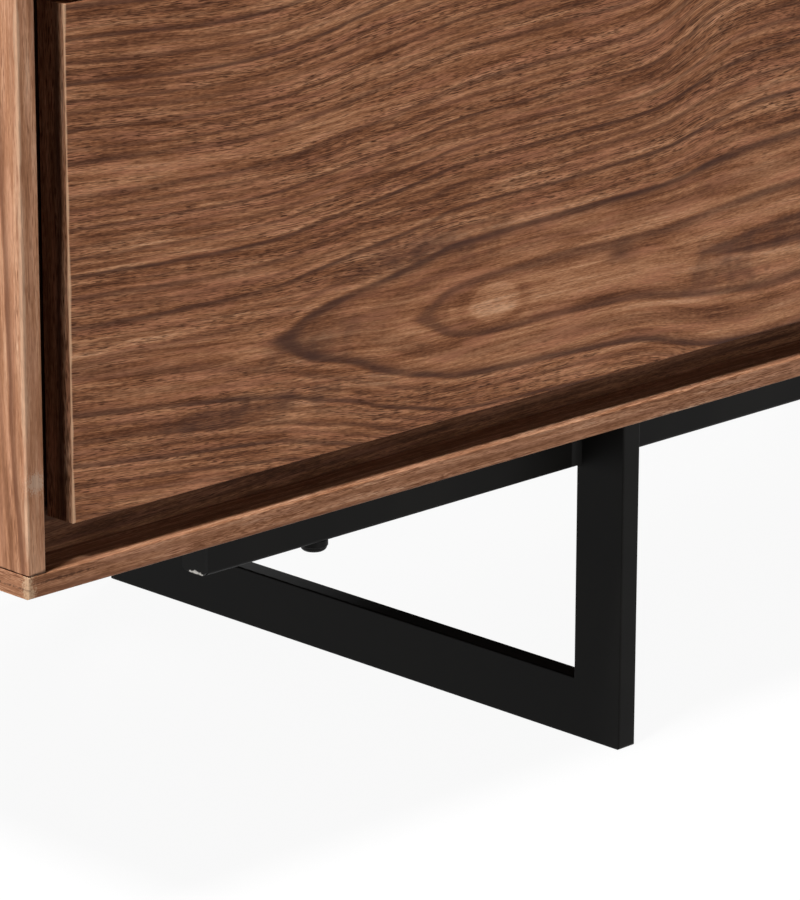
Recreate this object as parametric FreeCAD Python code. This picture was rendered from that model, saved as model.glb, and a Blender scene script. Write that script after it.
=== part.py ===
import FreeCAD, Part
import os

from FreeCAD import Vector

# A low office sideboard: a thin walnut-veneered shell on a welded black steel base.
# The left bay holds a deep drawer under a shallow one, the right bay a shelf behind two doors.
# X runs along the front, Y from the front to the back, Z up from the floor, in millimetres.
# The origin is on the floor, under the middle of the case.

# Driving sizes of the whole piece
case_width = 1800.0
case_depth = 510.0
case_height = 540.0
leg_height = 220.0

# Shell: top, bottom and sides, with the back let a little deeper than flush into a rebate,
# and a fine groove where a side meets the top and the bottom
shell_thickness = 13.0
shell_arris = 1.0
seam_height = 1.0
seam_depth = 1.0
back_thickness = 6.0
back_setback = 2.0
back_lap = 8.0

# Fronts, set inside the shell with a shadow gap all round for the fingers
shadow_gap = 22.5
front_setback = 2.5
front_thickness = 22.0
front_arris = 0.8
front_gap = 4.0
lower_front_height = 290.0

# Frame behind the fronts, whose edge the fronts lap over
frame_clearance = 3.5
frame_thickness = 20.0
frame_lap = 10.0
divider_thickness = 20.0
cross_rail_lap = 10.0

# Runners: three nested channels a side, full extension
slide_width = 12.7
slide_height = 45.0
slide_wall = 1.2
slide_lip = 2.4
slide_play = 0.3
slide_web_step = 1.7
slide_setback = 3.0
slide_end_gap = 28.0
packer_height = 70.0

# Drawer boxes
box_wall = 12.0
box_below = 10.0
box_above = 20.0
box_end_gap = 22.0
bottom_thickness = 8.0
bottom_rise = 10.0
groove_depth = 6.0
housing_depth = 6.0
slide_rise = 50.0

# Door pivots: a post on the case, a pin, and a flanged bush in the door's edge
pivot_inset = 9.0
pivot_behind_face = 7.5
pivot_pin_diameter = 6.0
pivot_pin_length = 12.0
pivot_play = 0.05
pivot_post_diameter = 10.0
pivot_plate_width = 16.0
pivot_plate_thickness = 2.5
bush_diameter = 10.0
bush_length = 14.0
bush_flange_diameter = 13.0
bush_flange_thickness = 1.0
bush_gap = 0.15

# Flat magnet and strike plate of each door, and the felt pads that the fronts close against
magnet_width = 14.0
magnet_height = 7.0
strike_width = 16.0
strike_height = 7.0
strike_thickness = 1.0
catch_gap = 0.3
catch_inset = 24.0
pad_width = 8.0
pad_gap = 0.3
pad_inset = 50.0

# Shelf and its pins
shelf_thickness = 19.0
shelf_setback = 30.0
shelf_end_gap = 1.0
shelf_height_share = 0.5
pin_diameter = 5.0
pin_length = 14.0
pin_depth = 8.0
pin_inset = 50.0
pin_pitch = 32.0
pin_holes_above = 1

# Steel base: rectangular tube, two loops under two rails
leg_tube_depth = 40.0
leg_tube_width = 15.0
rail_tube_depth = 20.0
rail_tube_height = 40.0
tube_wall = 1.5
leg_tube_corner = 1.2
rail_tube_corner = 2.2
foot_corner = 2.4
loop_front_inset = 13.0
loop_rear_inset = 8.0
loop_side_inset = 495.0
rail_end_inset = 178.5
end_plate_thickness = 2.0
weld_leg = 4.5
weld_hollow = 0.8
weld_end_gap = 1.5

# Screws that hold the case on the base
base_screw_diameter = 8.0
base_screw_bite = 9.0
base_screw_flange_diameter = 17.5
base_screw_flange_height = 4.5
base_screw_dome_height = 3.5
base_screw_crown_diameter = 11.0
base_screw_inset = 275.5

# Radial play of what is pushed or screwed into a bore, one overrun for every cut that
# passes through a face, and how near two places must be to count as one
fit_play = 0.1
overrun = 1.0
same_place = 0.001

# Levels and planes that the pieces share
floor_z = 0.0
case_bottom = floor_z + leg_height
case_top = case_bottom + case_height
inner_bottom = case_bottom + shell_thickness
inner_top = case_top - shell_thickness
right_face = case_width / 2
left_face = -right_face
inner_right = right_face - shell_thickness
inner_left = -inner_right
back_face = case_depth / 2
front_face = -back_face
back_outer = back_face - back_setback
back_inner = back_outer - back_thickness

front_plane = front_face + front_setback
front_rear = front_plane + front_thickness
frame_plane = front_rear + frame_clearance
frame_rear = frame_plane + frame_thickness

fronts_left = inner_left + shadow_gap
fronts_right = inner_right - shadow_gap
fronts_bottom = inner_bottom + shadow_gap
fronts_top = inner_top - shadow_gap
lower_front_top = fronts_bottom + lower_front_height
upper_front_bottom = lower_front_top + front_gap
middle_x = (fronts_left + fronts_right) / 2
left_bay_front_end = middle_x - front_gap / 2
right_bay_front_start = middle_x + front_gap / 2

frame_width = shadow_gap + frame_lap
opening_left = inner_left + frame_width
opening_bottom = inner_bottom + frame_width
opening_top = inner_top - frame_width
divider_left = middle_x - divider_thickness / 2
divider_right = middle_x + divider_thickness / 2
cross_rail_bottom = lower_front_top - cross_rail_lap
cross_rail_top = upper_front_bottom + cross_rail_lap

slide_front = frame_plane + slide_setback
slide_back = back_inner - slide_end_gap
box_back = back_inner - box_end_gap
box_left = opening_left + slide_width
box_right = divider_left - slide_width


def block(x, y, z):
    """A plain rectangular solid between the two ends given for each axis."""
    corner = Vector(x[0], y[0], z[0])
    return Part.makeBox(x[1] - x[0], y[1] - y[0], z[1] - z[0], corner)


def rod(start, direction, diameter, length):
    """A round bar from a point, along a direction."""
    return Part.makeCylinder(diameter / 2, length, start, direction)


def span(edge, axis):
    """How far an edge reaches along one axis, 0, 1 or 2."""
    ends = [vertex.Point[axis] for vertex in edge.Vertexes]
    return max(ends) - min(ends)


def lies_at(edge, axis, place):
    """True for an edge that lies wholly in the plane where that axis has that value."""
    return all(abs(vertex.Point[axis] - place) < same_place for vertex in edge.Vertexes)


def soften_face(solid, axis, place, radius):
    """Round the arrises round one flat face of a board."""
    edges = [edge for edge in solid.Edges if lies_at(edge, axis, place)]
    return solid.makeFillet(radius, edges)


def long_edges(solid, axis):
    """The four edges of a plain bar that run along it."""
    return [edge for edge in solid.Edges if span(edge, axis) > same_place]


def soften_along(solid, axis, radius):
    """Round the long edges of a plain bar."""
    return solid.makeFillet(radius, long_edges(solid, axis))


def bevel_along(solid, axis, size):
    """Take off the long edges of a plain bar at 45 degrees."""
    return solid.makeChamfer(size, long_edges(solid, axis))


def front_board(x, y, z, radius):
    """A board whose front edge shows: the arrises round its front face are rounded."""
    return soften_face(block(x, y, z), 1, y[0], radius)


def group(solids):
    """Separate solids that make one node."""
    return Part.makeCompound(solids)


def mirrored(solid):
    """The same piece on the other side of the middle of the case."""
    return solid.mirror(Vector(middle_x, 0, 0), Vector(1, 0, 0))


# Shell

back_left = inner_left - back_lap
back_right = inner_right + back_lap
back_bottom = inner_bottom - back_lap
back_top = inner_top + back_lap


def back_panel():
    return block((back_left, back_right), (back_inner, back_outer), (back_bottom, back_top))


def behind(panel):
    """A shell board with its rebate for the back panel."""
    beyond = (back_inner, back_face + overrun)
    return panel.cut(block((back_left, back_right), beyond, (back_bottom, back_top)))


def top_panel():
    z = (inner_top, case_top)
    return behind(front_board((left_face, right_face), (front_face, back_face), z, shell_arris))


def bottom_panel():
    """The bottom runs right across under the sides, and takes the screws of the base."""
    z = (case_bottom, inner_bottom)
    panel = behind(front_board((left_face, right_face), (front_face, back_face), z, shell_arris))
    depth = base_screw_bite + fit_play + overrun
    holes = []
    for x, y in base_screw_places():
        start = Vector(x, y, case_bottom - overrun)
        holes.append(rod(start, Vector(0, 0, 1), base_screw_diameter + 2 * fit_play, depth))
    return panel.cut(holes)


def left_side_panel():
    """A side between bottom and top, with the groove of both seams along its outer face."""
    z = (inner_bottom, inner_top)
    panel = behind(front_board((left_face, inner_left), (front_face, back_face), z, shell_arris))
    outer = (left_face - overrun, left_face + seam_depth)
    whole = (front_face - overrun, back_face + overrun)
    low = block(outer, whole, (inner_bottom - overrun, inner_bottom + seam_height))
    high = block(outer, whole, (inner_top - seam_height, inner_top + overrun))
    return panel.cut([low, high])


def pin_places():
    """Depths and heights of the pin holes, and the height of the pins under the shelf."""
    middle = inner_bottom + (inner_top - inner_bottom) * shelf_height_share
    used = middle - shelf_thickness / 2 - pin_diameter / 2
    heights = [used + step * pin_pitch for step in range(pin_holes_above + 1)]
    depths = (frame_rear + shelf_setback + pin_inset, back_inner - pin_inset)
    return depths, heights, used


def pin_holes(face_x, inward):
    """Rows of blind holes in one upright, bored from the compartment."""
    depths, heights, used = pin_places()
    bore = pin_diameter + 2 * fit_play
    holes = []
    for y in depths:
        for z in heights:
            start = Vector(face_x - inward * overrun, y, z)
            holes.append(rod(start, Vector(inward, 0, 0), bore, pin_depth + fit_play + overrun))
    return holes


def right_side_panel():
    return mirrored(left_side_panel()).cut(pin_holes(inner_right, 1))


# Frame behind the fronts

def frame_rail(z):
    return block((inner_left, inner_right), (frame_plane, frame_rear), z)


def frame_stile():
    return block((inner_left, opening_left), (frame_plane, frame_rear), (opening_bottom, opening_top))


def drawer_cross_rail():
    z = (cross_rail_bottom, cross_rail_top)
    return block((opening_left, divider_left), (frame_plane, frame_rear), z)


def centre_divider():
    """The upright between the bays, notched round the rails and bored for the shelf pins."""
    panel = block((divider_left, divider_right), (frame_plane, back_inner), (inner_bottom, inner_top))
    deep = (frame_plane - overrun, frame_rear)
    wide = (divider_left - overrun, divider_right + overrun)
    low = block(wide, deep, (inner_bottom - overrun, opening_bottom))
    high = block(wide, deep, (opening_top, inner_top + overrun))
    return panel.cut([low, high] + pin_holes(divider_right, -1))


# Runners. Each is three channels, one inside the other, that slide along Y.

def channel(near, far, half_height, middle_z, y, opens):
    """A rolled channel with lips and bent corners. It opens towards +X or -X, as opens says."""
    low, high = middle_z - half_height, middle_z + half_height
    outside = bevel_along(block((near, far), y, (low, high)), 1, slide_wall)
    ends = (y[0] - overrun, y[1] + overrun)
    inside = block((near + slide_wall, far - slide_wall), ends, (low + slide_wall, high - slide_wall))
    mouth_low, mouth_high = low + slide_lip, high - slide_lip
    if opens > 0:
        mouth = block((far - slide_wall - overrun, far + overrun), ends, (mouth_low, mouth_high))
    else:
        mouth = block((near - overrun, near + slide_wall + overrun), ends, (mouth_low, mouth_high))
    return outside.cut([inside, mouth])


def left_runner(middle_z):
    """Cabinet, middle and drawer member of a runner at the left side of a drawer."""
    y = (slide_front, slide_back)
    near, far = opening_left, opening_left + slide_width
    step = slide_web_step
    cabinet_half = slide_height / 2
    middle_half = cabinet_half - slide_lip - slide_play
    drawer_half = middle_half - slide_lip - slide_play
    cabinet = channel(near, far - 2 * step, cabinet_half, middle_z, y, 1)
    middle = channel(near + step, far - step, middle_half, middle_z, y, 1)
    drawer = channel(near + 2 * step, far, drawer_half, middle_z, y, -1)
    return cabinet, middle, drawer


def bay_mirrored(solid):
    """The same piece at the right side of the left bay."""
    centre = (opening_left + divider_left) / 2
    return solid.mirror(Vector(centre, 0, 0), Vector(1, 0, 0))


def packer(middle_z):
    """The block that brings a left runner level with the stile."""
    low, high = middle_z - packer_height / 2, middle_z + packer_height / 2
    return block((inner_left, opening_left), (frame_rear, back_inner), (low, high))


# Drawers

def drawer_boards(name, front_z, opening_z):
    """The boards of one drawer, by node name: the sides are housed in the front."""
    low, high = opening_z[0] + box_below, opening_z[1] - box_above
    left_wall = (box_left, box_left + box_wall)
    right_wall = (box_right - box_wall, box_right)
    between = (left_wall[1], right_wall[0])
    length = (front_rear - housing_depth, box_back)
    housing = (length[0], front_rear + overrun)
    floor_z_range = (low + bottom_rise, low + bottom_rise + bottom_thickness)
    floor_x = (left_wall[1] - groove_depth, right_wall[0] + groove_depth)

    front = front_board((fronts_left, left_bay_front_end), (front_plane, front_rear), front_z, front_arris)
    seats = [block(wall, housing, (low, high)) for wall in (left_wall, right_wall)]
    seats.append(block(between, housing, floor_z_range))
    groove = block(floor_x, (length[0] - overrun, length[1] + overrun), floor_z_range)
    return {
        name + "_drawer_front": front.cut(seats),
        name + "_drawer_left_side": block(left_wall, length, (low, high)).cut(groove),
        name + "_drawer_right_side": block(right_wall, length, (low, high)).cut(groove),
        name + "_drawer_back": block(between, (box_back - box_wall, box_back), (floor_z_range[1], high)),
        name + "_drawer_bottom": block(floor_x, length, floor_z_range),
    }


def drawer(name, front_z, opening_z):
    """One drawer with its two runners and the packer beside them, by node name."""
    nodes = drawer_boards(name, front_z, opening_z)
    middle_z = opening_z[0] + box_below + slide_rise
    members = left_runner(middle_z)
    for member, solid in zip(("cabinet", "middle", "drawer"), members):
        nodes[name + "_left_runner_" + member + "_member"] = solid
        nodes[name + "_right_runner_" + member + "_member"] = bay_mirrored(solid)
    return nodes, packer(middle_z)


# Doors and their pivots

def door_axis():
    """Where the left door turns: X and Y of its upright axis."""
    return right_bay_front_start + pivot_inset, front_plane + pivot_behind_face


def at_door(solid):
    """The same piece at the right door, which is the left one turned over."""
    centre = (right_bay_front_start + fronts_right) / 2
    return solid.mirror(Vector(centre, 0, 0), Vector(1, 0, 0))


def upside_down(solid):
    """The same piece at the top of a door."""
    centre = (fronts_bottom + fronts_top) / 2
    return solid.mirror(Vector(0, 0, centre), Vector(0, 0, 1))


def turned(profile, axis_x, axis_y):
    """A round piece spun about an upright axis, from radius and height pairs."""
    points = [Vector(axis_x + radius, axis_y, height) for radius, height in profile]
    face = Part.Face(Part.makePolygon(points + points[:1]))
    return face.revolve(Vector(axis_x, axis_y, 0), Vector(0, 0, 1), 360)


def lower_pivot_post():
    """A square plate on the case, a post that fills the shadow gap, and the pin above it."""
    x, y = door_axis()
    half, post, pin = pivot_plate_width / 2, pivot_post_diameter / 2, pivot_pin_diameter / 2
    shoulder = fronts_bottom - bush_flange_thickness - bush_gap
    pin_top = shoulder + pivot_pin_length
    plate_top = inner_bottom + pivot_plate_thickness
    plate = block((x - half, x + half), (y - half, y + half), (inner_bottom, plate_top))
    post_outline = [(0, plate_top), (post, plate_top), (post, shoulder)]
    pin_outline = [(pin, shoulder), (pin, pin_top), (0, pin_top)]
    return plate.fuse(turned(post_outline + pin_outline, x, y))


def lower_bush():
    """A flanged sleeve pushed into the lower edge of the door."""
    x, y = door_axis()
    bore = pivot_pin_diameter / 2 + pivot_play
    flange, sleeve = bush_flange_diameter / 2, bush_diameter / 2
    flange_low = fronts_bottom - bush_flange_thickness
    top = fronts_bottom + bush_length
    flange_outline = [(bore, flange_low), (flange, flange_low), (flange, fronts_bottom)]
    sleeve_outline = [(sleeve, fronts_bottom), (sleeve, top), (bore, top)]
    return turned(flange_outline + sleeve_outline, x, y)


def door_right_edge():
    return (right_bay_front_start + fronts_right - front_gap) / 2


def catch_place():
    """X and Z of the left door's catch, near its upper free corner."""
    return door_right_edge() - catch_inset, (fronts_top + opening_top) / 2


def strike_space(depth, play):
    """The strike plate in the back of the left door, or its recess where play is given."""
    x, z = catch_place()
    across, upward = strike_width / 2 + play, strike_height / 2 + play
    start = front_rear - strike_thickness
    return block((x - across, x + across), (start, start + depth), (z - upward, z + upward))


def left_magnet():
    """The flat magnet on the top rail, just short of the strike plate."""
    x, z = catch_place()
    x_range = (x - magnet_width / 2, x + magnet_width / 2)
    z_range = (z - magnet_height / 2, z + magnet_height / 2)
    return block(x_range, (front_rear + catch_gap, frame_plane), z_range)


def left_door_panel():
    x_range = (right_bay_front_start, door_right_edge())
    panel = front_board(x_range, (front_plane, front_rear), (fronts_bottom, fronts_top), front_arris)
    x, y = door_axis()
    start = Vector(x, y, fronts_bottom - overrun)
    seat = rod(start, Vector(0, 0, 1), bush_diameter + 2 * fit_play, bush_length + fit_play + overrun)
    recess = strike_space(strike_thickness + overrun, fit_play)
    return panel.cut([seat, upside_down(seat), recess])


def pad_places():
    """X and Z of the pads, behind the top of each drawer front and the free edge of each door."""
    edge_low = (fronts_bottom + opening_bottom) / 2
    edge_high = (fronts_top + opening_top) / 2
    lower_drawer_z = (cross_rail_bottom + lower_front_top) / 2
    left, right = opening_left + pad_inset, divider_left - pad_inset
    places = [(x, z) for x in (left, right) for z in (lower_drawer_z, edge_high)]
    door_x = door_right_edge() - pad_inset
    far_x = right_bay_front_start + fronts_right - door_x
    return places + [(x, z) for x in (door_x, far_x) for z in (edge_low, edge_high)]


def felt_pads():
    """Square pads stuck to the frame, a hair short of the fronts."""
    half, y_range = pad_width / 2, (front_rear + pad_gap, frame_plane)
    return [block((x - half, x + half), y_range, (z - half, z + half)) for x, z in pad_places()]


# Shelf

def shelf():
    depths, heights, used = pin_places()
    low = used + pin_diameter / 2
    x_range = (divider_right + shelf_end_gap, inner_right - shelf_end_gap)
    y_range = (frame_rear + shelf_setback, back_inner - shelf_end_gap)
    return front_board(x_range, y_range, (low, low + shelf_thickness), front_arris)


def shelf_pins():
    depths, heights, used = pin_places()
    pins = []
    for y in depths:
        left_start = Vector(divider_right - pin_depth, y, used)
        right_start = Vector(inner_right + pin_depth, y, used)
        pins.append(rod(left_start, Vector(1, 0, 0), pin_diameter, pin_length))
        pins.append(rod(right_start, Vector(-1, 0, 0), pin_diameter, pin_length))
    return pins


# Steel base

def tube(x, y, z, along, corner):
    """Rectangular steel tube along axis 0, 1 or 2, open at both ends."""
    outside = soften_along(block(x, y, z), along, corner)
    ranges = [(low + tube_wall, high - tube_wall) for low, high in (x, y, z)]
    low, high = (x, y, z)[along]
    ranges[along] = (low - overrun, high + overrun)
    return outside.cut(block(*ranges))


rail_front = front_face + loop_front_inset + leg_tube_depth
rail_x = (left_face + rail_end_inset, right_face - rail_end_inset)
rail_y = (rail_front, rail_front + rail_tube_depth)
rail_z = (case_bottom - rail_tube_height, case_bottom)
rail_middle_y = (rail_y[0] + rail_y[1]) / 2
loop_x = (left_face + loop_side_inset, left_face + loop_side_inset + leg_tube_width)
loop_y = (front_face + loop_front_inset, back_face - loop_rear_inset)
base_middle_y = (loop_y[0] + loop_y[1]) / 2


def turned_to_back(solid):
    """The same piece of the base at its other side."""
    return solid.mirror(Vector(0, base_middle_y, 0), Vector(0, 1, 0))


def base_screw_places():
    """X and Y of the screws, near the ends of both rails."""
    along = (left_face + base_screw_inset, right_face - base_screw_inset)
    across = (rail_middle_y, 2 * base_middle_y - rail_middle_y)
    return [(x, y) for y in across for x in along]


def front_rail():
    """The front rail, drilled right through for its screws."""
    length = (rail_x[0] + end_plate_thickness, rail_x[1] - end_plate_thickness)
    bore = base_screw_diameter + 2 * fit_play
    depth = rail_tube_height + 2 * overrun
    holes = []
    for x, y in base_screw_places():
        holes.append(rod(Vector(x, y, rail_z[0] - overrun), Vector(0, 0, 1), bore, depth))
    return tube(length, rail_y, rail_z, 0, rail_tube_corner).cut(holes)


def rail_end_plate():
    x_range = (rail_x[0], rail_x[0] + end_plate_thickness)
    return bevel_along(block(x_range, rail_y, rail_z), 0, rail_tube_corner)


def mitre_wedge(corner_y, direction):
    """The half space on the foot bar's side of the mitre between bar and leg."""
    reach = leg_tube_depth + overrun
    points = [
        (corner_y - direction * overrun, floor_z - overrun),
        (corner_y + direction * reach, floor_z + reach),
        (corner_y + direction * reach, floor_z - overrun),
    ]
    corners = [Vector(loop_x[0] - overrun, y, z) for y, z in points]
    face = Part.Face(Part.makePolygon(corners + corners[:1]))
    return face.extrude(Vector(leg_tube_width + 2 * overrun, 0, 0))


def outer_corner(corner_y, direction):
    """What is ground off the lower outer corner of a loop."""
    square = block(
        (loop_x[0] - overrun, loop_x[1] + overrun),
        sorted((corner_y - direction * overrun, corner_y + direction * foot_corner)),
        (floor_z - overrun, floor_z + foot_corner),
    )
    start = Vector(loop_x[0] - 2 * overrun, corner_y + direction * foot_corner, floor_z + foot_corner)
    return square.cut(rod(start, Vector(1, 0, 0), 2 * foot_corner, leg_tube_width + 4 * overrun))


def front_leg():
    y_range = (loop_y[0], loop_y[0] + leg_tube_depth)
    bar = tube(loop_x, y_range, (floor_z, case_bottom), 2, leg_tube_corner)
    return bar.cut([mitre_wedge(loop_y[0], 1), outer_corner(loop_y[0], 1)])


def foot_bar():
    bar = tube(loop_x, loop_y, (floor_z, floor_z + leg_tube_depth), 1, leg_tube_corner)
    front_wedge = mitre_wedge(loop_y[0], 1)
    keep = front_leg_space().cut(front_wedge)
    corner = outer_corner(loop_y[0], 1)
    return bar.cut([keep, turned_to_back(keep), corner, turned_to_back(corner)])


def front_leg_space():
    """The block of space round the lower end of the front leg."""
    return block(
        (loop_x[0] - overrun, loop_x[1] + overrun),
        (loop_y[0] - overrun, loop_y[0] + leg_tube_depth),
        (floor_z - overrun, floor_z + leg_tube_depth + overrun),
    )


def weld_bead(side):
    """A hollow fillet weld up the corner between the front leg and the front rail."""
    corner_x = loop_x[0] if side < 0 else loop_x[1]
    corner = (corner_x, rail_y[0])
    points = [corner, (corner_x + side * weld_leg, rail_y[0]), (corner_x, rail_y[0] - weld_leg)]
    start = rail_z[0] + weld_end_gap
    root, on_rail, on_leg = [Vector(x, y, start) for x, y in points]
    chord_middle = (on_rail + on_leg) / 2
    hollow = chord_middle + (root - chord_middle).normalize() * weld_hollow
    edges = [
        Part.makeLine(root, on_rail),
        Part.Arc(on_rail, hollow, on_leg).toShape(),
        Part.makeLine(on_leg, root),
    ]
    return Part.Face(Part.Wire(edges)).extrude(Vector(0, 0, rail_tube_height - 2 * weld_end_gap))


def base_screw(place):
    """A dome-head screw from below, through the rail and into the bottom panel."""
    x, y = place
    shank, flange = base_screw_diameter / 2, base_screw_flange_diameter / 2
    top = base_screw_crown_diameter / 2
    seat = rail_z[0]
    brim = seat - base_screw_flange_height
    crown = brim - base_screw_dome_height
    tip = case_bottom + base_screw_bite
    shank_outline = [(0, crown), (0, tip), (shank, tip), (shank, seat)]
    head_outline = [(flange, seat), (flange, brim), (top, crown)]
    return turned(shank_outline + head_outline, x, y)


# All the nodes

def shell_nodes():
    return {
        "top_panel": top_panel(),
        "bottom_panel": bottom_panel(),
        "left_side_panel": left_side_panel(),
        "right_side_panel": right_side_panel(),
        "back_panel": back_panel(),
    }


def frame_nodes():
    return {
        "frame_bottom_rail": frame_rail((inner_bottom, opening_bottom)),
        "frame_top_rail": frame_rail((opening_top, inner_top)),
        "frame_left_stile": frame_stile(),
        "frame_right_stile": mirrored(frame_stile()),
        "drawer_cross_rail": drawer_cross_rail(),
        "centre_divider": centre_divider(),
        "felt_pads": group(felt_pads()),
    }


def drawer_nodes():
    lower_front, lower_opening = (fronts_bottom, lower_front_top), (opening_bottom, cross_rail_bottom)
    upper_front, upper_opening = (upper_front_bottom, fronts_top), (cross_rail_top, opening_top)
    lower, lower_packer = drawer("lower", lower_front, lower_opening)
    upper, upper_packer = drawer("upper", upper_front, upper_opening)
    return {**lower, **upper, "runner_packers": group([lower_packer, upper_packer])}


def door_nodes():
    left_bushes = group([lower_bush(), upside_down(lower_bush())])
    left_posts = [lower_pivot_post(), upside_down(lower_pivot_post())]
    return {
        "left_door_panel": left_door_panel(),
        "right_door_panel": at_door(left_door_panel()),
        "left_door_bushes": left_bushes,
        "right_door_bushes": at_door(left_bushes),
        "left_door_strike": strike_space(strike_thickness, 0),
        "right_door_strike": at_door(strike_space(strike_thickness, 0)),
        "door_magnets": group([left_magnet(), at_door(left_magnet())]),
        "door_pivot_posts": group(left_posts + [at_door(post) for post in left_posts]),
    }


def shelf_nodes():
    return {"shelf": shelf(), "shelf_pins": group(shelf_pins())}


def base_nodes():
    beads = [weld_bead(-1), weld_bead(1)]
    beads += [turned_to_back(bead) for bead in beads]
    plates = [rail_end_plate(), mirrored(rail_end_plate())]
    nodes = {
        "front_rail": front_rail(),
        "rear_rail": turned_to_back(front_rail()),
        "rail_end_plates": group(plates + [turned_to_back(plate) for plate in plates]),
        "weld_beads": group(beads + [mirrored(bead) for bead in beads]),
        "base_screws": group([base_screw(place) for place in base_screw_places()]),
    }
    loop = {"front_leg": front_leg(), "foot_bar": foot_bar(), "rear_leg": turned_to_back(front_leg())}
    for name, solid in loop.items():
        nodes["left_" + name] = solid
        nodes["right_" + name] = mirrored(solid)
    return nodes


def main():
    os.makedirs("parts", exist_ok=True)
    nodes = {}
    for section in (shell_nodes, frame_nodes, drawer_nodes, door_nodes, shelf_nodes, base_nodes):
        nodes.update(section())
    for name, shape in sorted(nodes.items()):
        shape.exportStep("parts/" + name + ".step")
        print(name, len(shape.Solids), round(shape.Volume), shape.isValid())
    print(len(nodes), "nodes")


main()
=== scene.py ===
# %% [markdown]
# A walnut sideboard on a welded steel base.
# Its boards, runners, pivots and tubes come from the CAD model as a fixed frame, already at
# their real size and place. This lesson gives each surface its finish, adds the fittings that
# are too fine for the solids, and then sets up the floor, the lamps and the camera.

# %% Load the frame
import math

import bmesh
import bpy
from mathutils import Matrix, Vector


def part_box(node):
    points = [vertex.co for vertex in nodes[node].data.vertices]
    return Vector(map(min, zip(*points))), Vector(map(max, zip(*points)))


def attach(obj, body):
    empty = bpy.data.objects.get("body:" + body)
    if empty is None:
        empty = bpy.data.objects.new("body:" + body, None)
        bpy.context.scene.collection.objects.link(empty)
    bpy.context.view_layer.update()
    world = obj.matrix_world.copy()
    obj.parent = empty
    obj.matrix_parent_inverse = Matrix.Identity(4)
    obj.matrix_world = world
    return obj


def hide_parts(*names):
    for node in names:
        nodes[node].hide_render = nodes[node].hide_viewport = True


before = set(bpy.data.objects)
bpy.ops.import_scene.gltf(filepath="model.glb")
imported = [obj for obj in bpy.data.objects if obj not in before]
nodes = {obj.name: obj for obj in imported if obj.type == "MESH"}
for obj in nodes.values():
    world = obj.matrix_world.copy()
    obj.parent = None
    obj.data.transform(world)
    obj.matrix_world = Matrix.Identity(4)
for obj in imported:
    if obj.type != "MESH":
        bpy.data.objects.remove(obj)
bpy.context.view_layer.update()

MM = 0.001

# %% [markdown]
# Colours are written as a painter would pick them from a screen, in sRGB hex, but a shader
# works in linear light. One function turns them, so that no colour is converted twice.

# %% Colours in linear light
def linear(hex_colour):
    """The linear values, with full opacity, of an sRGB colour such as "#8B5E48"."""
    shares = [int(hex_colour[start:start + 2], 16) / 255 for start in (1, 3, 5)]
    return tuple(s / 12.92 if s <= 0.04045 else ((s + 0.055) / 1.055) ** 2.4 for s in shares) + (1.0,)


print("mid walnut is", [round(value, 3) for value in linear("#7A513C")])

# %% [markdown]
# A material is a small graph of nodes. Writing the graph by hand takes three steps for each
# node: make it, set it, link it. One helper does all three, so a finish reads as a list of
# what its pattern is made of. Many inputs go by number: in a map range 1 and 2 are the range
# that comes in, and 3 and 4 the range that goes out. In a mix 4 and 5 are two places, and 6
# and 7 two colours.

# %% Add a shader node
def add(tree, kind, inputs=None, stops=None, points=None, **settings):
    """Adds one shader node with its settings. An input takes a value or another node's output."""
    made = tree.nodes.new("ShaderNode" + kind)
    for name, value in settings.items():
        setattr(made, name, value)
    for name, value in (inputs or {}).items():
        if isinstance(value, bpy.types.NodeSocket):
            tree.links.new(value, made.inputs[name])
        else:
            made.inputs[name].default_value = value
    if stops:
        ramp = made.color_ramp
        while len(ramp.elements) < len(stops):
            ramp.elements.new(0.5)
        for element, (position, colour) in zip(ramp.elements, stops):
            element.position = position
            element.color = linear(colour)
    if points:
        line = made.mapping.curves[0].points
        while len(line) < len(points):
            line.new(0.5, 0.5)
        for point, place in zip(line, points):
            point.location = place
            point.handle_type = "AUTO_CLAMPED"
        made.mapping.update()
    return made


def total(tree, *parts):
    """Adds up several outputs or numbers."""
    result = parts[0]
    for part in parts[1:]:
        result = add(tree, "Math", {0: result, 1: part}, operation="ADD").outputs[0]
    return result


# %% [markdown]
# A finish is made once and laid on every piece that has it. Each solid came with a slot for its
# material, and the finish goes into that slot, so the solid itself stays as it is.

# %% Lay a finish on
def new_finish(name):
    """An empty material, and its tree."""
    material = bpy.data.materials.new(name)
    material.use_nodes = True
    material.node_tree.nodes.clear()
    return material, material.node_tree


def dress(material, *names):
    """Gives CAD nodes a finish, through their own material slots."""
    for name in names:
        for slot in nodes[name].material_slots:
            slot.material = material
    print(material.name, "is on", ", ".join(names))


print(sum(len(node.material_slots) for node in nodes.values()), "slots wait for a finish")

# %% [markdown]
# Walnut veneer is a thin slice of a log. A picture of wood would fix its figure at one size
# and smear on the edges, so here the wood is worked out from the place of each point, in real
# millimetres. The first step finds where a point lies: along the grain, across it and into the
# board. A band glued on a board's end has its own grain, which runs across.

# %% Places in the wood
end_facing = 0.7
fresh_steps = (731, 197, 389)


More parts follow.
